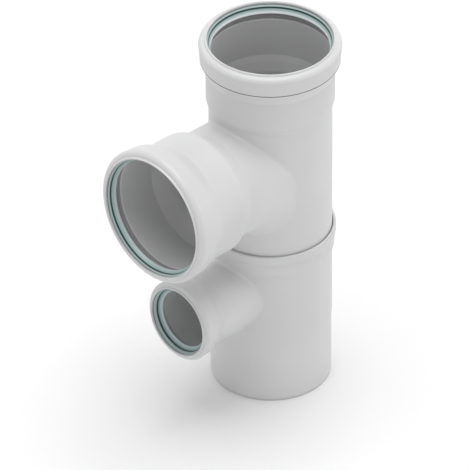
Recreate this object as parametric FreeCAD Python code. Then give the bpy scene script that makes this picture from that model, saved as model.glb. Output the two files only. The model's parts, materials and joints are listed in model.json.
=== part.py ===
# Double branch drain fitting: a main run for 90 mm pipe with a full size side socket and a 50 mm side socket.
# Frame: origin at the centre of the spigot's end, Z up the main run, both branches towards +X, millimetres.

import FreeCAD
import Part

import math
import os

# Pipes that the fitting joins
MAIN_PIPE_DIAMETER = 90.0
SMALL_PIPE_DIAMETER = 50.0
PIPE_CLEARANCE = 0.2

# Main run, from the spigot's end upwards
SPIGOT_LENGTH = 50.0
SPIGOT_STEP = 0.5
SPIGOT_STEP_LENGTH = 6.0
SMALL_BRANCH_FOOT_GAP = 3.2
SMALL_BRANCH_TOP_GAP = 19.4
LARGE_BRANCH_FOOT_GAP = 16.8
TOP_TAPER_GAP = 6.2

# Side branches
BRANCH_RISE_DEG = 2.5
LARGE_BRANCH_BLEND = 2.0
LARGE_THROAT_RADIUS = 14.0
LARGE_NECK_LENGTH = 17.0
LARGE_NECK_REDUCTION = 2.4
SMALL_BRANCH_BLEND = 2.5
THROAT_INSET = 0.1
SMALL_SLEEVE_LENGTH = 53.0

# Walls
MAIN_WALL = 2.2
SMALL_WALL = 2.0

# Main socket, lengths from its mouth inwards
MAIN_SOCKET_DEPTH = 46.0
MAIN_SLEEVE_PAST_STOP = 5.3
MAIN_MOUTH_RELIEF = 1.25
MAIN_RIM_WIDTH = 1.3
MAIN_GROOVE_DEPTH = 5.2
MAIN_GROOVE_START = 1.9
MAIN_GROOVE_END = 14.4
MAIN_BEAD_CREST = 5.0
MAIN_BEAD_LENGTH = 17.2

# Small socket, lengths from its mouth inwards
SMALL_SOCKET_DEPTH = 44.0
SMALL_MOUTH_RELIEF = 1.25
SMALL_RIM_WIDTH = 1.1
SMALL_GROOVE_DEPTH = 4.1
SMALL_GROOVE_START = 1.7
SMALL_GROOVE_END = 11.2
SMALL_BEAD_CREST = 4.0
SMALL_BEAD_LENGTH = 13.5

# Details that both socket sizes share
RIM_ROUND = 0.5
RIM_HEIGHT = 1.4
BEAD_TAPER = 0.9
BEAD_ROUND = 10.0
FLANK_ANGLE_DEG = 24.0
FLANK_ROUND = 4.0
TAPER_ROUND = 6.0
CREASE_WIDTH = 0.7
CREASE_DEPTH = 0.8
LEAD_IN = 0.8

# Inner tapers behind the sockets, from the pipe's stop to the narrower bore
TOP_STOP_LENGTH = 13.0
LARGE_STOP_LENGTH = 16.0
SMALL_STOP_LENGTH = 8.0

# Lip seals, lengths along the socket
SEAL_CLEARANCE = 0.2
SEAL_PIPE_GAP = 0.1
SEAL_LOBE_LENGTH = 1.8
SEAL_NOTCH_WIDTH = 1.0
SEAL_NOTCH_DEPTH = 1.3
SEAL_LIP_THICKNESS = 1.1
SEAL_WEB_LENGTH = 3.0
SEAL_HOLLOW_WIDTH = 1.5
SEAL_LIP_END_GAP = 1.5

# Joint of the two mouldings
JOINT_DEPTH = 13.0
JOINT_CLEARANCE = 0.1
COLLAR_WALL = 1.6
COLLAR_BAND_HEIGHT = 7.5
COLLAR_BAND_RISE = 1.1
COLLAR_BAND_ROUND = 0.9
COLLAR_SLEEVE_LENGTH = 17.0
COLLAR_GAP_WIDTH = 0.8
COLLAR_GAP_DEPTH = 3.0

# Ends of the mouldings
SPIGOT_CHAMFER = 1.0
SPIGOT_CHAMFER_LENGTH = 2.5
SPIGOT_STEP_ROUND = 20.0
UPPER_END_CHAMFER = 0.6

# Values that follow from the sizes above
ORIGIN = FreeCAD.Vector(0, 0, 0)
Y_AXIS = FreeCAD.Vector(0, 1, 0)
Z_AXIS = FreeCAD.Vector(0, 0, 1)
FLANK_SLOPE = math.tan(math.radians(FLANK_ANGLE_DEG))
THROAT_TURN_DEG = 90 - BRANCH_RISE_DEG
MAIN_RADIUS = MAIN_PIPE_DIAMETER / 2
MAIN_BORE = MAIN_RADIUS - MAIN_WALL
MAIN_SLEEVE_RADIUS = MAIN_RADIUS + PIPE_CLEARANCE + MAIN_WALL
RUN_RADIUS = MAIN_RADIUS + SPIGOT_STEP
SMALL_RADIUS = SMALL_PIPE_DIAMETER / 2
SMALL_BORE = SMALL_RADIUS - SMALL_WALL
SMALL_SLEEVE_RADIUS = SMALL_RADIUS + PIPE_CLEARANCE + SMALL_WALL
LARGE_NECK_RADIUS = MAIN_RADIUS - LARGE_NECK_REDUCTION
LARGE_NECK_BORE = LARGE_NECK_RADIUS - MAIN_WALL
COLLAR_SLEEVE_RADIUS = RUN_RADIUS + JOINT_CLEARANCE + COLLAR_WALL
MAIN_SLEEVE_LENGTH = MAIN_SOCKET_DEPTH + MAIN_SLEEVE_PAST_STOP
TOP_TAPER_LENGTH = (MAIN_SLEEVE_RADIUS - RUN_RADIUS) / FLANK_SLOPE
LARGE_TAPER_LENGTH = (MAIN_SLEEVE_RADIUS - LARGE_NECK_RADIUS) / FLANK_SLOPE
COLLAR_TAPER_LENGTH = (COLLAR_SLEEVE_RADIUS - RUN_RADIUS) / FLANK_SLOPE
RUN_FOOT = SPIGOT_LENGTH + SPIGOT_STEP_LENGTH
SMALL_BRANCH_HEIGHT = RUN_FOOT + SMALL_BRANCH_FOOT_GAP + SMALL_SLEEVE_RADIUS
SMALL_BRANCH_REACH = RUN_RADIUS + SMALL_SLEEVE_LENGTH
COLLAR_TOP = SMALL_BRANCH_HEIGHT + SMALL_SLEEVE_RADIUS + SMALL_BRANCH_TOP_GAP
SEAT_HEIGHT = COLLAR_TOP - JOINT_DEPTH
LARGE_BRANCH_HEIGHT = COLLAR_TOP + LARGE_BRANCH_FOOT_GAP + LARGE_NECK_RADIUS
LARGE_BRANCH_REACH = RUN_RADIUS + LARGE_NECK_LENGTH + LARGE_TAPER_LENGTH + MAIN_SLEEVE_LENGTH
TOP_TAPER_FOOT = LARGE_BRANCH_HEIGHT + LARGE_NECK_RADIUS + TOP_TAPER_GAP
TOTAL_HEIGHT = TOP_TAPER_FOOT + TOP_TAPER_LENGTH + MAIN_SLEEVE_LENGTH


def point(radius, height):
    """Point of a profile in the XZ plane."""
    return FreeCAD.Vector(radius, 0, height)


def lines(*points):
    """Straight edges through the points in turn."""
    return [Part.LineSegment(start, end).toShape() for start, end in zip(points, points[1:])]


def arc(start, middle, end):
    return Part.Arc(start, middle, end).toShape()


def rounded(*corners):
    """Edges through the corners in turn, each a point and the radius that rounds it, or 0."""
    edges = []
    start = corners[0][0]
    for (last, _), (corner, radius), (following, _) in zip(corners, corners[1:], corners[2:]):
        if not radius:
            edges += lines(start, corner)
            start = corner
            continue
        back = (last - corner).normalize()
        ahead = (following - corner).normalize()
        inward = (back + ahead).normalize()
        half_angle = back.getAngle(ahead) / 2
        reach = radius / math.tan(half_angle)
        crown = corner + inward * (radius / math.sin(half_angle) - radius)
        edges += lines(start, corner + back * reach)
        start = corner + ahead * reach
        edges.append(arc(corner + back * reach, crown, start))
    return edges + lines(start, corners[-1][0])


def turned(edges):
    """Solid of revolution about Z from a closed profile."""
    face = Part.Face(Part.Wire(edges))
    return face.revolve(ORIGIN, Z_AXIS, 360)


class Socket:
    """Push-fit socket on the Z axis, facing up. Depths are measured from its mouth."""

    def __init__(self, mouth_height, pipe_radius, wall, depth, relief, rim_width, groove_depth,
                 groove_start, groove_end, crest, bead_length):
        self.mouth_height = mouth_height
        self.pipe = pipe_radius
        self.bore = pipe_radius + PIPE_CLEARANCE
        self.sleeve = self.bore + wall
        self.depth = depth
        self.mouth = self.bore + relief
        self.rim = self.mouth + rim_width
        self.groove = self.bore + groove_depth
        self.groove_start = groove_start
        self.groove_end = groove_end
        self.bead = self.groove + wall
        self.crest = crest
        self.bead_length = bead_length

    def at(self, radius, depth):
        """Point of the profile at a radius and a depth from the mouth."""
        return point(radius, self.mouth_height - depth)

    def body(self, foot, creased, neck_corners=()):
        """Filled outer form: rim, bead, sleeve and, below it, the corners of a narrower neck."""
        waist = self.at(self.rim + RIM_ROUND, RIM_HEIGHT)
        crest = self.at(self.bead, self.crest)
        eighth = math.pi / 4
        crest_middle = self.at(
            waist.x + (self.bead - waist.x) * math.sin(eighth),
            self.crest - (self.crest - RIM_HEIGHT) * math.cos(eighth))
        bead_end = self.bead - BEAD_TAPER
        crease = [
            (self.at(bead_end, self.bead_length - CREASE_WIDTH), 0),
            (self.at(bead_end - CREASE_DEPTH, self.bead_length - CREASE_WIDTH / 2), 0),
        ] if creased else []
        flank_foot = self.bead_length + (bead_end - self.sleeve) / FLANK_SLOPE
        foot_radius = neck_corners[-1][0].x if neck_corners else self.sleeve
        edges = rounded((self.at(0, 0), 0), (self.at(self.rim, 0), RIM_ROUND), (waist, 0))
        edges.append(arc(waist, crest_middle, crest))
        edges += rounded(
            (crest, 0),
            *crease,
            (self.at(bead_end, self.bead_length), 0 if creased else BEAD_ROUND),
            (self.at(self.sleeve, flank_foot), FLANK_ROUND),
            *neck_corners,
            (point(foot_radius, foot), 0),
            (point(0, foot), 0),
            (self.at(0, 0), 0))
        return turned(edges)

    def neck(self, radius, sleeve_length):
        """Corners where the sleeve draws in to a narrower neck."""
        taper_length = (self.sleeve - radius) / FLANK_SLOPE
        return [
            (self.at(self.sleeve, sleeve_length), TAPER_ROUND),
            (self.at(radius, sleeve_length + taper_length), TAPER_ROUND),
        ]

    def hollow(self, neck_bore, stop_length, foot):
        """Filled form of the inside: rim relief, seal groove, pipe bore, stop and neck bore."""
        groove_slope = self.groove - self.mouth
        return turned(rounded(
            (self.at(0, 0), 0),
            (self.at(self.mouth + RIM_ROUND, 0), 0),
            (self.at(self.mouth, RIM_ROUND), RIM_ROUND),
            (self.at(self.mouth, self.groove_start), 0),
            (self.at(self.groove, self.groove_start + groove_slope), 0),
            (self.at(self.groove, self.groove_end), 0),
            (self.at(self.bore + LEAD_IN, self.groove_end), 0),
            (self.at(self.bore, self.groove_end + LEAD_IN), 0),
            (self.at(self.bore, self.depth), 0),
            (self.at(neck_bore, self.depth + stop_length), 0),
            (point(neck_bore, foot), 0),
            (point(0, foot), 0),
            (self.at(0, 0), 0)))

    def seal(self):
        """Lip seal on the groove's end wall, with its lip pressed back as a fitted pipe holds it."""
        outer = self.groove - SEAL_CLEARANCE
        nose = self.groove_start + SEAL_CLEARANCE * math.sqrt(2)
        lip = self.pipe + SEAL_PIPE_GAP
        lip_back = lip + SEAL_LIP_THICKNESS
        lobe_end = self.groove_start + SEAL_LOBE_LENGTH
        lip_start = lobe_end + SEAL_NOTCH_WIDTH
        web_end = lip_start + SEAL_WEB_LENGTH
        lip_end = self.groove_end - SEAL_LIP_END_GAP
        half_lip = SEAL_LIP_THICKNESS / 2
        edges = lines(
            self.at(self.mouth, nose),
            self.at(outer, nose + outer - self.mouth),
            self.at(outer, self.groove_end),
            self.at(lip_back + SEAL_HOLLOW_WIDTH, self.groove_end),
            self.at(lip_back + SEAL_HOLLOW_WIDTH / 3, web_end),
            self.at(lip_back, web_end),
            self.at(lip_back, lip_end - half_lip))
        edges.append(arc(
            self.at(lip_back, lip_end - half_lip), self.at(lip + half_lip, lip_end),
            self.at(lip, lip_end - half_lip)))
        edges += lines(
            self.at(lip, lip_end - half_lip),
            self.at(lip, lip_start),
            self.at(lip + SEAL_NOTCH_DEPTH, lip_start - SEAL_NOTCH_WIDTH / 2),
            self.at(lip, lobe_end),
            self.at(self.mouth, nose))
        return turned(edges)


def main_socket(mouth_height):
    return Socket(
        mouth_height, MAIN_RADIUS, MAIN_WALL, MAIN_SOCKET_DEPTH, MAIN_MOUTH_RELIEF, MAIN_RIM_WIDTH,
        MAIN_GROOVE_DEPTH, MAIN_GROOVE_START, MAIN_GROOVE_END, MAIN_BEAD_CREST, MAIN_BEAD_LENGTH)


def small_socket(mouth_height):
    return Socket(
        mouth_height, SMALL_RADIUS, SMALL_WALL, SMALL_SOCKET_DEPTH, SMALL_MOUTH_RELIEF,
        SMALL_RIM_WIDTH, SMALL_GROOVE_DEPTH, SMALL_GROOVE_START, SMALL_GROOVE_END, SMALL_BEAD_CREST,
        SMALL_BEAD_LENGTH)


def as_branch(shape, height):
    """Turns a form made on the Z axis to a branch's axis, which meets the run at the height."""
    placed = shape.copy()
    placed.rotate(ORIGIN, Y_AXIS, 90 - BRANCH_RISE_DEG)
    placed.translate(FreeCAD.Vector(0, 0, height))
    return placed


def blended(run, branch, radius):
    """Run and branch as one form, with a rounded corner where they meet."""
    run_seam_behind = run.copy()
    run_seam_behind.rotate(ORIGIN, Z_AXIS, 180)
    joined = run_seam_behind.fuse(branch)
    seam = [edge for edge in joined.Edges if isinstance(edge.Curve, Part.BSplineCurve)]
    return joined.makeFillet(radius, seam)


def upper_branch_body():
    """Upper moulding: top socket, large side socket and the end that seats in the collar."""
    top = main_socket(TOTAL_HEIGHT)
    side = main_socket(LARGE_BRANCH_REACH)
    run = top.body(SEAT_HEIGHT, True, top.neck(RUN_RADIUS, MAIN_SLEEVE_LENGTH))
    branch = side.body(0, False, side.neck(LARGE_NECK_RADIUS, MAIN_SLEEVE_LENGTH))
    branch = as_branch(branch, LARGE_BRANCH_HEIGHT)
    body = blended(run, branch, LARGE_BRANCH_BLEND)
    body = body.fuse(throat(LARGE_NECK_RADIUS - THROAT_INSET))
    body = body.cut(top.hollow(MAIN_BORE, TOP_STOP_LENGTH, SEAT_HEIGHT))
    branch_hollow = side.hollow(LARGE_NECK_BORE, LARGE_STOP_LENGTH, 0)
    body = body.cut(as_branch(branch_hollow, LARGE_BRANCH_HEIGHT))
    body = body.cut(throat(LARGE_NECK_BORE - THROAT_INSET))
    return body.cut(end_chamfer(RUN_RADIUS, SEAT_HEIGHT, UPPER_END_CHAMFER, UPPER_END_CHAMFER))


def throat(radius):
    """Filled bend of a pipe radius that sweeps the large branch down into the run."""
    bend_radius = LARGE_NECK_RADIUS + LARGE_THROAT_RADIUS
    foot = LARGE_BRANCH_HEIGHT - bend_radius * math.tan(math.radians(THROAT_TURN_DEG / 2))
    disc = Part.Face(Part.Wire(Part.makeCircle(radius, point(0, foot))))
    return disc.revolve(point(bend_radius, foot), Y_AXIS, THROAT_TURN_DEG)


def end_chamfer(radius, height, inset, length):
    """Ring that takes the corner off the lower end of a pipe."""
    return turned(lines(
        point(radius - inset, height),
        point(radius, height + length),
        point(radius + inset, height + length),
        point(radius + inset, height),
        point(radius - inset, height)))


def collar_run():
    """Filled outer form of the lower moulding's run, from the spigot's end to the collar's top."""
    band = COLLAR_SLEEVE_RADIUS + COLLAR_BAND_RISE
    band_foot = COLLAR_TOP - COLLAR_BAND_HEIGHT
    sleeve_foot = COLLAR_TOP - COLLAR_SLEEVE_LENGTH
    return turned(rounded(
        (point(0, COLLAR_TOP), 0),
        (point(band, COLLAR_TOP), RIM_ROUND),
        (point(band, band_foot), COLLAR_BAND_ROUND),
        (point(COLLAR_SLEEVE_RADIUS, band_foot), 0),
        (point(COLLAR_SLEEVE_RADIUS, sleeve_foot), TAPER_ROUND),
        (point(RUN_RADIUS, sleeve_foot - COLLAR_TAPER_LENGTH), TAPER_ROUND),
        (point(RUN_RADIUS, RUN_FOOT), SPIGOT_STEP_ROUND),
        (point(MAIN_RADIUS, SPIGOT_LENGTH), SPIGOT_STEP_ROUND),
        (point(MAIN_RADIUS, 0), 0),
        (point(0, 0), 0),
        (point(0, COLLAR_TOP), 0)))


def collar_hollow():
    """Filled form of the lower run's inside: open gap at the collar's top, joint bore, seat and pipe bore."""
    joint = RUN_RADIUS + JOINT_CLEARANCE
    gap_foot = COLLAR_TOP - COLLAR_GAP_DEPTH
    return turned(lines(
        point(0, COLLAR_TOP),
        point(joint + COLLAR_GAP_WIDTH, COLLAR_TOP),
        point(joint + COLLAR_GAP_WIDTH, gap_foot),
        point(joint, gap_foot - COLLAR_GAP_WIDTH),
        point(joint, SEAT_HEIGHT),
        point(MAIN_BORE, SEAT_HEIGHT),
        point(MAIN_BORE, 0),
        point(0, 0),
        point(0, COLLAR_TOP)))


def lower_branch_body():
    """Lower moulding: collar, small side socket and the spigot."""
    side = small_socket(SMALL_BRANCH_REACH)
    branch = as_branch(side.body(0, False), SMALL_BRANCH_HEIGHT)
    body = blended(collar_run(), branch, SMALL_BRANCH_BLEND)
    body = body.cut(collar_hollow())
    branch_hollow = side.hollow(SMALL_BORE, SMALL_STOP_LENGTH, 0)
    body = body.cut(as_branch(branch_hollow, SMALL_BRANCH_HEIGHT))
    return body.cut(end_chamfer(MAIN_RADIUS, 0, SPIGOT_CHAMFER, SPIGOT_CHAMFER_LENGTH))


def main():
    os.makedirs("parts", exist_ok=True)
    nodes = {
        "upper_branch_body": upper_branch_body(),
        "lower_branch_body": lower_branch_body(),
        "top_seal": main_socket(TOTAL_HEIGHT).seal(),
        "large_branch_seal": as_branch(main_socket(LARGE_BRANCH_REACH).seal(), LARGE_BRANCH_HEIGHT),
        "small_branch_seal": as_branch(small_socket(SMALL_BRANCH_REACH).seal(), SMALL_BRANCH_HEIGHT),
    }
    for name, shape in nodes.items():
        solid = shape.Solids[0]
        solid.exportStep("parts/" + name + ".step")
        print(name, len(shape.Solids), "solid", round(solid.Volume), "mm3", solid.isValid())


main()
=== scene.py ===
import json
import logging
import math
from dataclasses import dataclass
from enum import Enum
from typing import Dict, List, Tuple, Union

import bmesh
import bpy
from mathutils import Matrix, Vector

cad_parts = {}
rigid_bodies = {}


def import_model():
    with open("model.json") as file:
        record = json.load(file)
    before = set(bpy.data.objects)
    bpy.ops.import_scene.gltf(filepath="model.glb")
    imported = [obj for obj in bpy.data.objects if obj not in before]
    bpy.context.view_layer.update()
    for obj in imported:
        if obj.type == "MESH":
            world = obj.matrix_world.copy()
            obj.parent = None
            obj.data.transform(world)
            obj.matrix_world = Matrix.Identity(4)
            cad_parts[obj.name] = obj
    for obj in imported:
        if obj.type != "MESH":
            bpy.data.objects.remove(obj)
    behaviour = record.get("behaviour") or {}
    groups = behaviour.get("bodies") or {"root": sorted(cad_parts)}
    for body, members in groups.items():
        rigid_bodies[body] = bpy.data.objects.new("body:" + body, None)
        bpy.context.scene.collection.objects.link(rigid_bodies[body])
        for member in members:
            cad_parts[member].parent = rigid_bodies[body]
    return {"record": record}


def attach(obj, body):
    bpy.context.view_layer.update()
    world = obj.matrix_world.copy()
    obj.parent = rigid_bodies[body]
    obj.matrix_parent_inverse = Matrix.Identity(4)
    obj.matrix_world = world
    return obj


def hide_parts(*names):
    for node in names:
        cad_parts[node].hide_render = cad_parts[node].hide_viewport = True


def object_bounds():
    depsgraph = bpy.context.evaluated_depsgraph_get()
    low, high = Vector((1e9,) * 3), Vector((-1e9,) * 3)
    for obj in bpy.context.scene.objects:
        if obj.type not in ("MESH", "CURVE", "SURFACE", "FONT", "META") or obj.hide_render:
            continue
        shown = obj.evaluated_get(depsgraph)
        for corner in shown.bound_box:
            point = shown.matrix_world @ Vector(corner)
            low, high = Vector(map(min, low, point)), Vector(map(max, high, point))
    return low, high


MM = 0.001
log = logging.getLogger("double_branch")

Colour = Tuple[float, float, float, float]
Span = Tuple[float, float]
Shade = Union[Colour, bpy.types.NodeSocket]

WHITE = (1.0, 1.0, 1.0, 1.0)
UP = Vector((0.0, 0.0, 1.0))
# The axes of all sockets lie in the plane y = 0, so this direction is square to each of them.
ACROSS = Vector((0.0, 1.0, 0.0))

# Sockets of a Mix node that mixes colours, which share their names with those for other values.
MIX_FIRST = 6
MIX_SECOND = 7
MIX_RESULT = 2


class Slot(Enum):
    """Material slots of the record."""

    BODY = "moulded_body"
    SEAL = "lip_seal"


@dataclass(frozen=True)
class PlasticFinish:
    """White plastic as it leaves the mould.

    The scales are in cycles per metre, the grain depth in metres. The plastic turns from the dark
    to the light tone over the noise values in tone_span.
    """

    name: str = "moulded_white"
    light: Colour = (0.66, 0.66, 0.665, 1.0)
    dark: Colour = (0.63, 0.63, 0.635, 1.0)
    tone_scale: float = 18.0
    tone_detail: float = 1.0
    tone_span: Span = (0.3, 0.7)
    roughness_low: float = 0.36
    roughness_high: float = 0.46
    grain_scale: float = 1400.0
    grain_detail: float = 3.0
    grain_strength: float = 0.05
    grain_depth: float = 0.00004
    ior: float = 1.49


@dataclass(frozen=True)
class PaintedShadeZone:
    """Zone round a socket's axis where shade is painted into the plastic's colour: a painted shadow
    line in a crease, or painted shade deep in a bore.

    Its depths from the socket's mouth, its radii from the axis and the width over which it begins
    and ends are in mm.
    """

    seal: str
    depths: Span
    radii: Span
    tone: Colour
    edge: float = 0.05


# Painted shade: the thin shadow line in the top socket's crease, painted nearly black.
CREASE_PAINTED_SHADE = (0.25, 0.25, 0.255, 1.0)
# Painted shade inside the sockets' bores, the run's bore and the large branch's neck.
BORE_PAINTED_SHADE = (0.61, 0.61, 0.615, 1.0)
CREASE_DEPTHS = (16.5, 17.2)
CREASE_RADII = (48.0, 60.0)
SOCKET_DEPTHS = (1.0, 46.0)
SOCKET_RADII = (0.0, 46.8)
RUN_DEPTHS = (46.0, 298.0)
RUN_RADII = (0.0, 44.2)
NECK_DEPTHS = (46.0, 80.0)
NECK_RADII = (0.0, 41.5)
PAINTED_SHADE_ZONES = (
    PaintedShadeZone("top_seal", CREASE_DEPTHS, CREASE_RADII, CREASE_PAINTED_SHADE),
    PaintedShadeZone("top_seal", SOCKET_DEPTHS, SOCKET_RADII, BORE_PAINTED_SHADE),
    PaintedShadeZone("top_seal", RUN_DEPTHS, RUN_RADII, BORE_PAINTED_SHADE),
    PaintedShadeZone("large_branch_seal", SOCKET_DEPTHS, SOCKET_RADII, BORE_PAINTED_SHADE),
    PaintedShadeZone("large_branch_seal", NECK_DEPTHS, NECK_RADII, BORE_PAINTED_SHADE),
)


@dataclass(frozen=True)
class RubberFinish:
    """Teal sealing rubber: outer band, root of the lip with painted shade, its thin pale edge with a
    painted highlight, its underside with painted shade, and its back.

    Each span says where the next tone comes in, in mm from the notch for the root and the lip, and
    from the lip's tip for the edge, the underside and the back.
    """

    band: Colour = (0.40, 0.49, 0.48, 1.0)
    # root: painted shade, the dark notch at the lip's root.
    root: Colour = (0.015, 0.06, 0.05, 1.0)
    lip: Colour = (0.37, 0.50, 0.49, 1.0)
    # edge: painted highlight on the lip's thin rounded edge.
    edge: Colour = (0.56, 0.64, 0.65, 1.0)
    # under: painted shade beneath the lip and in the hollow behind it.
    under_painted_shade: Colour = (0.21, 0.19, 0.20, 1.0)
    back: Colour = (0.46, 0.46, 0.46, 1.0)
    root_painted_shade_span: Span = (-0.9, -0.5)
    lip_span: Span = (0.5, 1.1)
    edge_painted_highlight_span: Span = (-3.0, -0.3)
    under_painted_shade_span: Span = (0.2, 0.6)
    back_span: Span = (2.0, 6.0)
    roughness: float = 0.42
    ior: float = 1.52


@dataclass(frozen=True)
class FloorFinish:
    """Pale floor that the fitting stands on, a little whiter to the camera than to the light."""

    name: str = "pale_floor"
    colour: Colour = (0.8, 0.8, 0.8, 1.0)
    seen: Colour = (0.86, 0.86, 0.86, 1.0)
    roughness: float = 0.9
    specular: float = 0.0
    half_width: float = 12.0


@dataclass(frozen=True)
class Light:
    """Soft light of the scene: pale walls all round and a broad lamp overhead.

    The walls' light is even up to wall_low, fades out at wall_high (both as the sine of the
    height above the horizon), and is stronger by wall_bias towards wall_azimuth_deg, counted from
    the camera's side over the right.
    """

    wall: float = 1.0
    wall_bias: float = 0.34
    wall_azimuth_deg: float = 143.0
    wall_low: float = 0.45
    wall_high: float = 0.90
    lamp: float = 2.3
    lamp_spread_deg: float = 52.0


@dataclass(frozen=True)
class SealForm:
    """Section of a seal with its lip free, radii from the axis and depths from the mouth in mm.

    The corners run from the nose at the rim over the back in the groove and along the lip to the
    notch that parts the lip from the outer band. The mouth lies mouth_gap outside the mount's bore.
    """

    node: str
    mount: str
    mouth_gap: float
    corners: Tuple[Span, ...]
    notch: float
    tip: float
    rounding: float = 0.22
    rounding_segments: int = 4
    steps: int = 160


MAIN_CORNERS = (
    (46.40, 2.3), (50.2, 5.9), (50.2, 14.4), (48.0, 14.4), (47.6, 9.0), (44.5, 9.1),
    (43.6, 8.6), (43.6, 7.9), (45.15, 4.6), (46.2, 4.1), (45.15, 3.6),
)
SMALL_CORNERS = (
    (26.40, 2.1), (29.1, 4.8), (29.1, 11.2), (27.6, 11.2), (27.2, 8.6), (23.1, 8.9),
    (22.2, 8.4), (22.2, 7.6), (25.0, 5.3), (26.0, 4.8), (25.0, 4.3),
)
SEALS = (
    SealForm("top_seal", "top_socket", 15.2, MAIN_CORNERS, notch=4.1, tip=8.2),
    SealForm("large_branch_seal", "large_branch_socket", 15.2, MAIN_CORNERS, notch=4.1, tip=8.2),
    SealForm("small_branch_seal", "small_branch_socket", 12.0, SMALL_CORNERS, notch=4.8, tip=8.0),
)
SEAL_FINISHES = {
    # The top seal's lip edge carries a brighter painted highlight, where light from overhead falls on
    # it.
    "top_seal": RubberFinish(edge=(0.90, 0.95, 0.96, 1.0)),
    "large_branch_seal": RubberFinish(),
    # Painted shade: the small seal's lip, edge and underside are painted darker copies of the same
    # rubber.
    "small_branch_seal": RubberFinish(
        lip=(0.20, 0.29, 0.30, 1.0), edge=(0.52, 0.62, 0.64, 1.0), under_painted_shade=(0.07, 0.08, 0.08, 1.0)),
}


@dataclass(frozen=True)
class ProductCamera:
    """Long lens camera at the photograph's viewing angle.

    The sight line passes beside the run's axis, at a height above the spigot's end.
    """

    azimuth_deg: float = 135.042
    elevation_deg: float = 35.743
    roll_deg: float = -0.277
    distance: float = 7.438
    side: float = -0.026356
    height: float = 0.119852
    lens: float = 770.86
    sensor: float = 36.0
    nearest: float = 0.1
    farthest: float = 60.0

    def directions(self) -> Tuple[Vector, Vector, Vector]:
        """Finds the camera's own directions.

        Returns:
            The unit vectors to the right, upwards and forwards.
        """
        azimuth = math.radians(self.azimuth_deg)
        elevation = math.radians(self.elevation_deg)
        roll = math.radians(self.roll_deg)
        forward = Vector((
            -math.sin(azimuth) * math.cos(elevation),
            math.cos(azimuth) * math.cos(elevation),
            -math.sin(elevation),
        ))
        level = self.level()
        upright = level.cross(forward)
        right = level * math.cos(roll) + upright * math.sin(roll)
        up = upright * math.cos(roll) - level * math.sin(roll)
        return right, up, forward

    def level(self) -> Vector:
        """Finds the level direction across the picture.

        Returns:
            The horizontal unit vector that points right in the picture.
        """
        azimuth = math.radians(self.azimuth_deg)
        return Vector((math.cos(azimuth), math.sin(azimuth), 0.0))

    def build(self) -> bpy.types.Object:
        """Makes the camera and gives it to the scene.

        Returns:
            The camera object.
        """
        right, up, forward = self.directions()
        place = self.level() * self.side + UP * self.height - forward * self.distance
        data = bpy.data.cameras.new("product_camera")
        data.lens = self.lens
        data.sensor_width = self.sensor
        data.clip_start = self.nearest
        data.clip_end = self.farthest
        camera = bpy.data.objects.new("product_camera", data)
        bpy.context.scene.collection.objects.link(camera)
        turned = Matrix((right, up, -forward)).transposed().to_4x4()
        camera.matrix_world = Matrix.Translation(place) @ turned
        bpy.context.scene.camera = camera
        return camera


class Nodes:
    """Short forms for adding and joining nodes of one tree."""

    def __init__(self, tree: bpy.types.NodeTree) -> None:
        """Keeps the tree."""
        self.tree = tree

    def add(self, kind: str, **values: object) -> bpy.types.Node:
        """Adds a node.

        Args:
            kind: The node's type name.
            **values: Properties to set on it.

        Returns:
            The new node.
        """
        node = self.tree.nodes.new(kind)
        for name, value in values.items():
            setattr(node, name, value)
        return node

    def join(self, output: bpy.types.NodeSocket, target: bpy.types.NodeSocket) -> None:
        """Joins an output to an input.

        Args:
            output: Where the value comes from.
            target: Where it goes.
        """
        self.tree.links.new(output, target)

    def ramp(self, value: bpy.types.NodeSocket, low: float, high: float) -> bpy.types.NodeSocket:
        """Maps a value from a range to 0 and 1 with a smooth step.

        Args:
            value: The value's socket.
            low: Value that gives 0.
            high: Value that gives 1.

        Returns:
            The mapped value's socket.
        """
        node = self.add("ShaderNodeMapRange", interpolation_type="SMOOTHSTEP")
        node.inputs["From Min"].default_value = low
        node.inputs["From Max"].default_value = high
        self.join(value, node.inputs["Value"])
        return node.outputs["Result"]

    def times(
        self, first: bpy.types.NodeSocket, second: bpy.types.NodeSocket,
    ) -> bpy.types.NodeSocket:
        """Multiplies two values.

        Args:
            first: A value's socket.
            second: A value's socket.

        Returns:
            The product's socket.
        """
        node = self.add("ShaderNodeMath", operation="MULTIPLY")
        self.join(first, node.inputs[0])
        self.join(second, node.inputs[1])
        return node.outputs["Value"]

    def mix(self, factor: bpy.types.NodeSocket, first: Shade, second: Shade) -> bpy.types.NodeSocket:
        """Mixes two colours.

        Args:
            factor: Share of the second colour.
            first: Colour or colour socket.
            second: Colour or colour socket.

        Returns:
            The mixed colour's socket.
        """
        node = self.add("ShaderNodeMix", data_type="RGBA")
        self.join(factor, node.inputs["Factor"])
        for value, target in ((first, node.inputs[MIX_FIRST]), (second, node.inputs[MIX_SECOND])):
            if isinstance(value, bpy.types.NodeSocket):
                self.join(value, target)
            else:
                target.default_value = value
        return node.outputs[MIX_RESULT]


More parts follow.
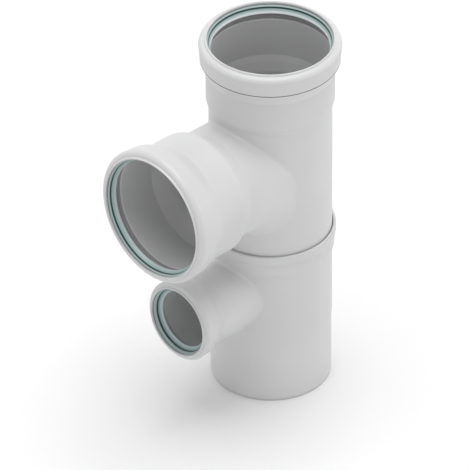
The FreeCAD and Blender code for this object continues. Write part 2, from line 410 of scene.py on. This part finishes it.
class Materials:
    """Makes the materials of the scene, each from its frozen finish."""

    def __init__(self) -> None:
        """Makes the node groups that the materials share."""
        self.tone_group = self._tone_group()
        self.depth_group = self._depth_group()

    @staticmethod
    def _empty(name: str) -> Tuple[bpy.types.Material, Nodes, bpy.types.Node]:
        """Makes a material with only a principled shader.

        Args:
            name: The material's name.

        Returns:
            The material, its nodes and the shader.
        """
        material = bpy.data.materials.new(name)
        material.use_nodes = True
        nodes = Nodes(material.node_tree)
        return material, nodes, material.node_tree.nodes["Principled BSDF"]

    @staticmethod
    def _tone_group() -> bpy.types.NodeTree:
        """Makes the group that gives the plastic's slow changes of tone and its fine grain.

        Returns:
            A group with a scale and a detail for each of its outputs, Tone and Grain.
        """
        tree = bpy.data.node_groups.new("mould_tone", "ShaderNodeTree")
        for kind in ("Tone", "Grain"):
            tree.interface.new_socket(kind + " Scale", in_out="INPUT", socket_type="NodeSocketFloat")
            tree.interface.new_socket(kind + " Detail", in_out="INPUT", socket_type="NodeSocketFloat")
            tree.interface.new_socket(kind, in_out="OUTPUT", socket_type="NodeSocketFloat")
        nodes = Nodes(tree)
        given = nodes.add("NodeGroupInput")
        result = nodes.add("NodeGroupOutput")
        place = nodes.add("ShaderNodeTexCoord")
        for kind in ("Tone", "Grain"):
            noise = nodes.add("ShaderNodeTexNoise")
            nodes.join(place.outputs["Object"], noise.inputs["Vector"])
            nodes.join(given.outputs[kind + " Scale"], noise.inputs["Scale"])
            nodes.join(given.outputs[kind + " Detail"], noise.inputs["Detail"])
            nodes.join(noise.outputs["Fac"], result.inputs[kind])
        return tree

    @staticmethod
    def _depth_group() -> bpy.types.NodeTree:
        """Makes the group that measures how deep in a socket and how far from its axis a point lies.

        Returns:
            A group with inputs Mouth and Axis and outputs Depth and Radius, in mm.
        """
        tree = bpy.data.node_groups.new("socket_depth", "ShaderNodeTree")
        tree.interface.new_socket("Mouth", in_out="INPUT", socket_type="NodeSocketVector")
        tree.interface.new_socket("Axis", in_out="INPUT", socket_type="NodeSocketVector")
        tree.interface.new_socket("Depth", in_out="OUTPUT", socket_type="NodeSocketFloat")
        tree.interface.new_socket("Radius", in_out="OUTPUT", socket_type="NodeSocketFloat")
        nodes = Nodes(tree)
        given = nodes.add("NodeGroupInput")
        result = nodes.add("NodeGroupOutput")
        place = nodes.add("ShaderNodeTexCoord")
        inward = nodes.add("ShaderNodeVectorMath", operation="SUBTRACT")
        along = nodes.add("ShaderNodeVectorMath", operation="DOT_PRODUCT")
        on_axis = nodes.add("ShaderNodeVectorMath", operation="PROJECT")
        aside = nodes.add("ShaderNodeVectorMath", operation="DISTANCE")
        nodes.join(given.outputs["Mouth"], inward.inputs[0])
        nodes.join(place.outputs["Object"], inward.inputs[1])
        nodes.join(inward.outputs["Vector"], along.inputs[0])
        nodes.join(given.outputs["Axis"], along.inputs[1])
        nodes.join(inward.outputs["Vector"], on_axis.inputs[0])
        nodes.join(given.outputs["Axis"], on_axis.inputs[1])
        nodes.join(inward.outputs["Vector"], aside.inputs[0])
        nodes.join(on_axis.outputs["Vector"], aside.inputs[1])
        for measured, name in ((along, "Depth"), (aside, "Radius")):
            scaled = nodes.add("ShaderNodeMath", operation="DIVIDE")
            scaled.inputs[1].default_value = MM
            nodes.join(measured.outputs["Value"], scaled.inputs[0])
            nodes.join(scaled.outputs["Value"], result.inputs[name])
        return tree

    def _in_socket(self, nodes: Nodes, mouth: Vector, axis: Vector) -> bpy.types.Node:
        """Adds the group that measures places in one socket.

        Args:
            nodes: The material's nodes.
            mouth: Centre of the socket's mouth.
            axis: Direction out of the socket.

        Returns:
            The group's node, with outputs Depth and Radius.
        """
        measured = nodes.add("ShaderNodeGroup", node_tree=self.depth_group)
        measured.inputs["Mouth"].default_value = mouth
        measured.inputs["Axis"].default_value = axis
        return measured

    def _painted_shade_mask(
        self, nodes: Nodes, zone: PaintedShadeZone, mouth: Vector, axis: Vector,
    ) -> bpy.types.NodeSocket:
        """Makes the mask of a zone with painted shade.

        Args:
            nodes: The material's nodes.
            zone: The zone's depths and radii.
            mouth: Centre of its socket's mouth.
            axis: Direction out of its socket.

        Returns:
            The mask's socket, 1 in the zone.
        """
        place = self._in_socket(nodes, mouth, axis)
        mask = None
        for name, (low, high) in (("Depth", zone.depths), ("Radius", zone.radii)):
            for limit, inside in ((low, low + zone.edge), (high, high - zone.edge)):
                within = nodes.ramp(place.outputs[name], limit, inside)
                mask = within if mask is None else nodes.times(mask, within)
        return mask

    def plastic(self, finish: PlasticFinish, seals: Dict[str, "LipSeal"]) -> bpy.types.Material:
        """Makes the mouldings' white plastic.

        Args:
            finish: The plastic's colours and surface.
            seals: The seals by name, which know their sockets' mouths and axes.

        Returns:
            The material.
        """
        material, nodes, shader = self._empty(finish.name)
        tone = nodes.add("ShaderNodeGroup", node_tree=self.tone_group)
        tone.inputs["Tone Scale"].default_value = finish.tone_scale
        tone.inputs["Tone Detail"].default_value = finish.tone_detail
        tone.inputs["Grain Scale"].default_value = finish.grain_scale
        tone.inputs["Grain Detail"].default_value = finish.grain_detail
        soft = nodes.ramp(tone.outputs["Tone"], *finish.tone_span)
        colour = nodes.mix(soft, finish.dark, finish.light)
        # Paints shade into the colour: the crease's shadow line and the darker bores.
        for zone in PAINTED_SHADE_ZONES:
            seal = seals[zone.seal]
            colour = nodes.mix(self._painted_shade_mask(nodes, zone, seal.mouth, seal.axis), colour, zone.tone)
        nodes.join(colour, shader.inputs["Base Color"])
        gloss = nodes.add("ShaderNodeMapRange")
        gloss.inputs["To Min"].default_value = finish.roughness_low
        gloss.inputs["To Max"].default_value = finish.roughness_high
        nodes.join(soft, gloss.inputs["Value"])
        nodes.join(gloss.outputs["Result"], shader.inputs["Roughness"])
        bump = nodes.add("ShaderNodeBump")
        bump.inputs["Strength"].default_value = finish.grain_strength
        bump.inputs["Distance"].default_value = finish.grain_depth
        nodes.join(tone.outputs["Grain"], bump.inputs["Height"])
        nodes.join(bump.outputs["Normal"], shader.inputs["Normal"])
        shader.inputs["IOR"].default_value = finish.ior
        return material

    def rubber(
        self, finish: RubberFinish, form: SealForm, mouth: Vector, axis: Vector,
    ) -> bpy.types.Material:
        """Makes one seal's rubber, whose zones follow the depth in its socket.

        Args:
            finish: The rubber's colours and surface.
            form: The seal's section.
            mouth: Centre of the socket's mouth.
            axis: Direction out of the socket.

        Returns:
            The material.
        """
        material, nodes, shader = self._empty(form.node + "_rubber")
        depth = self._in_socket(nodes, mouth, axis).outputs["Depth"]
        colour = finish.band
        # The notch at the lip's root and the lip's underside get painted shade, the lip's edge a
        # painted highlight.
        for place, (start, end), tone in (
            (form.notch, finish.root_painted_shade_span, finish.root),
            (form.notch, finish.lip_span, finish.lip),
            (form.tip, finish.edge_painted_highlight_span, finish.edge),
            (form.tip, finish.under_painted_shade_span, finish.under_painted_shade),
            (form.tip, finish.back_span, finish.back),
        ):
            colour = nodes.mix(nodes.ramp(depth, place + start, place + end), colour, tone)
        nodes.join(colour, shader.inputs["Base Color"])
        shader.inputs["Roughness"].default_value = finish.roughness
        shader.inputs["IOR"].default_value = finish.ior
        return material

    def floor(self, finish: FloorFinish) -> bpy.types.Material:
        """Makes the floor's matt material.

        Args:
            finish: The floor's colour and surface.

        Returns:
            The material.
        """
        material, nodes, shader = self._empty(finish.name)
        path = nodes.add("ShaderNodeLightPath")
        colour = nodes.mix(path.outputs["Is Camera Ray"], finish.colour, finish.seen)
        nodes.join(colour, shader.inputs["Base Color"])
        shader.inputs["Roughness"].default_value = finish.roughness
        shader.inputs["Specular IOR Level"].default_value = finish.specular
        return material


class LipSeal:
    """One lip seal in its socket's groove, with its lip free."""

    def __init__(self, form: SealForm, mount: Dict) -> None:
        """Finds the socket's axis and the centre of its mouth.

        Args:
            form: The seal's section.
            mount: The record's mount for the socket.
        """
        self.form = form
        self.axis = Vector(mount["axis"]).normalized()
        reach = (mount["dims"]["length_mm"] / 2 + form.mouth_gap) * MM
        self.mouth = Vector(mount["pos_m"]) + self.axis * reach

    def build(self, material: bpy.types.Material) -> bpy.types.Object:
        """Spins the rounded section about the socket's axis.

        Args:
            material: The seal's rubber.

        Returns:
            The seal.
        """
        bm = bmesh.new()
        corners = [
            bm.verts.new(self.mouth + ACROSS * radius * MM - self.axis * depth * MM)
            for radius, depth in self.form.corners
        ]
        bm.faces.new(corners)
        bmesh.ops.bevel(
            bm, geom=bm.verts[:], offset=self.form.rounding * MM,
            segments=self.form.rounding_segments, profile=0.5, affect="VERTICES", material=-1)
        section: List[bmesh.types.BMEdge] = bm.edges[:]
        bmesh.ops.delete(bm, geom=bm.faces[:], context="FACES_ONLY")
        bmesh.ops.spin(
            bm, geom=section, cent=self.mouth, axis=self.axis, angle=math.tau,
            steps=self.form.steps, use_merge=True)
        bmesh.ops.recalc_face_normals(bm, faces=bm.faces[:])
        for face in bm.faces:
            face.smooth = True
        mesh = bpy.data.meshes.new(self.form.node + "_free_lip")
        bm.to_mesh(mesh)
        bm.free()
        mesh.materials.append(material)
        seal = bpy.data.objects.new(self.form.node + "_free_lip", mesh)
        bpy.context.scene.collection.objects.link(seal)
        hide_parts(self.form.node)
        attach(seal, "root")
        return seal


class Studio:
    """Floor, pale walls and lamp round the fitting."""

    def __init__(self, light: Light, camera: ProductCamera) -> None:
        """Keeps the light and the camera, whose side the walls' light is turned from."""
        self.light = light
        self.camera = camera

    def floor(
        self, material: bpy.types.Material, half_width: float, height: float,
    ) -> bpy.types.Object:
        """Lays the floor.

        Args:
            material: The floor's material.
            half_width: Half the floor's width.
            height: The fitting's lowest point.

        Returns:
            The floor.
        """
        bm = bmesh.new()
        bmesh.ops.create_grid(bm, x_segments=1, y_segments=1, size=half_width)
        bmesh.ops.translate(bm, verts=bm.verts[:], vec=(0.0, 0.0, height))
        mesh = bpy.data.meshes.new("floor")
        bm.to_mesh(mesh)
        bm.free()
        mesh.materials.append(material)
        floor = bpy.data.objects.new("floor", mesh)
        bpy.context.scene.collection.objects.link(floor)
        return floor

    def walls(self) -> None:
        """Gives light from pale walls all round, which the camera and reflections see as white."""
        world = bpy.data.worlds.new("studio_walls")
        bpy.context.scene.world = world
        world.use_nodes = True
        nodes = Nodes(world.node_tree)
        lit = world.node_tree.nodes["Background"]
        lit.inputs["Color"].default_value = WHITE
        nodes.join(self._wall_strength(nodes), lit.inputs["Strength"])
        seen = nodes.add("ShaderNodeBackground")
        seen.inputs["Color"].default_value = WHITE
        path = nodes.add("ShaderNodeLightPath")
        shown = path.outputs["Is Camera Ray"]
        for kind in ("Is Glossy Ray", "Is Transmission Ray"):
            either = nodes.add("ShaderNodeMath", operation="MAXIMUM")
            nodes.join(shown, either.inputs[0])
            nodes.join(path.outputs[kind], either.inputs[1])
            shown = either.outputs["Value"]
        mixed = nodes.add("ShaderNodeMixShader")
        nodes.join(shown, mixed.inputs["Fac"])
        nodes.join(lit.outputs["Background"], mixed.inputs[1])
        nodes.join(seen.outputs["Background"], mixed.inputs[2])
        nodes.join(mixed.outputs["Shader"], world.node_tree.nodes["World Output"].inputs["Surface"])

    def _wall_strength(self, nodes: Nodes) -> bpy.types.NodeSocket:
        """Makes the walls' light: even near the horizon, fading upwards, stronger on one side.

        Args:
            nodes: The world's nodes.

        Returns:
            The strength's socket.
        """
        turn = math.radians(self.light.wall_azimuth_deg)
        near = self.camera.level().cross(UP)
        bright = near * math.cos(turn) + self.camera.level() * math.sin(turn)
        place = nodes.add("ShaderNodeTexCoord")
        side = nodes.add("ShaderNodeVectorMath", operation="DOT_PRODUCT")
        side.inputs[1].default_value = bright * self.light.wall_bias
        nodes.join(place.outputs["Generated"], side.inputs[0])
        level = nodes.add("ShaderNodeMath", operation="ADD")
        level.inputs[1].default_value = self.light.wall
        nodes.join(side.outputs["Value"], level.inputs[0])
        split = nodes.add("ShaderNodeSeparateXYZ")
        nodes.join(place.outputs["Generated"], split.inputs["Vector"])
        fade = nodes.ramp(split.outputs["Z"], self.light.wall_high, self.light.wall_low)
        return nodes.times(level.outputs["Value"], fade)

    def lamp(self) -> bpy.types.Object:
        """Hangs the broad lamp, which shines straight down.

        Returns:
            The lamp.
        """
        data = bpy.data.lights.new("broad_lamp", "SUN")
        data.energy = self.light.lamp
        data.angle = math.radians(self.light.lamp_spread_deg)
        lamp = bpy.data.objects.new("broad_lamp", data)
        bpy.context.scene.collection.objects.link(lamp)
        return lamp


def read_mounts(frame: Dict) -> Dict[str, Dict]:
    """Reads the record's mounts.


    Returns:
        Each mount by its name.
    """
    return {mount["name"]: mount for mount in frame["record"]["mounts"]}


def dress_mouldings(frame: Dict, plastic: bpy.types.Material) -> None:
    """Gives the plastic to the CAD's mouldings, whose shapes stay as they are.

    Args:
        plastic: The mouldings' material.
    """
    for piece in frame["record"]["subparts"]:
        if piece["material_slot"] == Slot.BODY.value:
            body = bpy.data.objects[piece["node"]]
            body.data.materials.clear()
            body.data.materials.append(plastic)
            log.info("dressed %s", piece["node"])


def main() -> None:
    """Builds the scene in order."""
    logging.basicConfig(level=logging.INFO, format="%(name)s: %(message)s")
    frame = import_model()
    low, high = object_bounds()
    bpy.context.scene.view_settings.view_transform = "Standard"
    materials = Materials()
    mounts = read_mounts(frame)
    seals = {form.node: LipSeal(form, mounts[form.mount]) for form in SEALS}
    dress_mouldings(frame, materials.plastic(PlasticFinish(), seals))
    for name, seal in seals.items():
        seal.build(materials.rubber(SEAL_FINISHES[name], seal.form, seal.mouth, seal.axis))
        log.info("built %s", name)
    camera = ProductCamera()
    camera.build()
    studio = Studio(Light(), camera)
    finish = FloorFinish()
    studio.floor(materials.floor(finish), finish.half_width, low[2])
    studio.walls()
    studio.lamp()


if __name__ == "__main__":
    main()
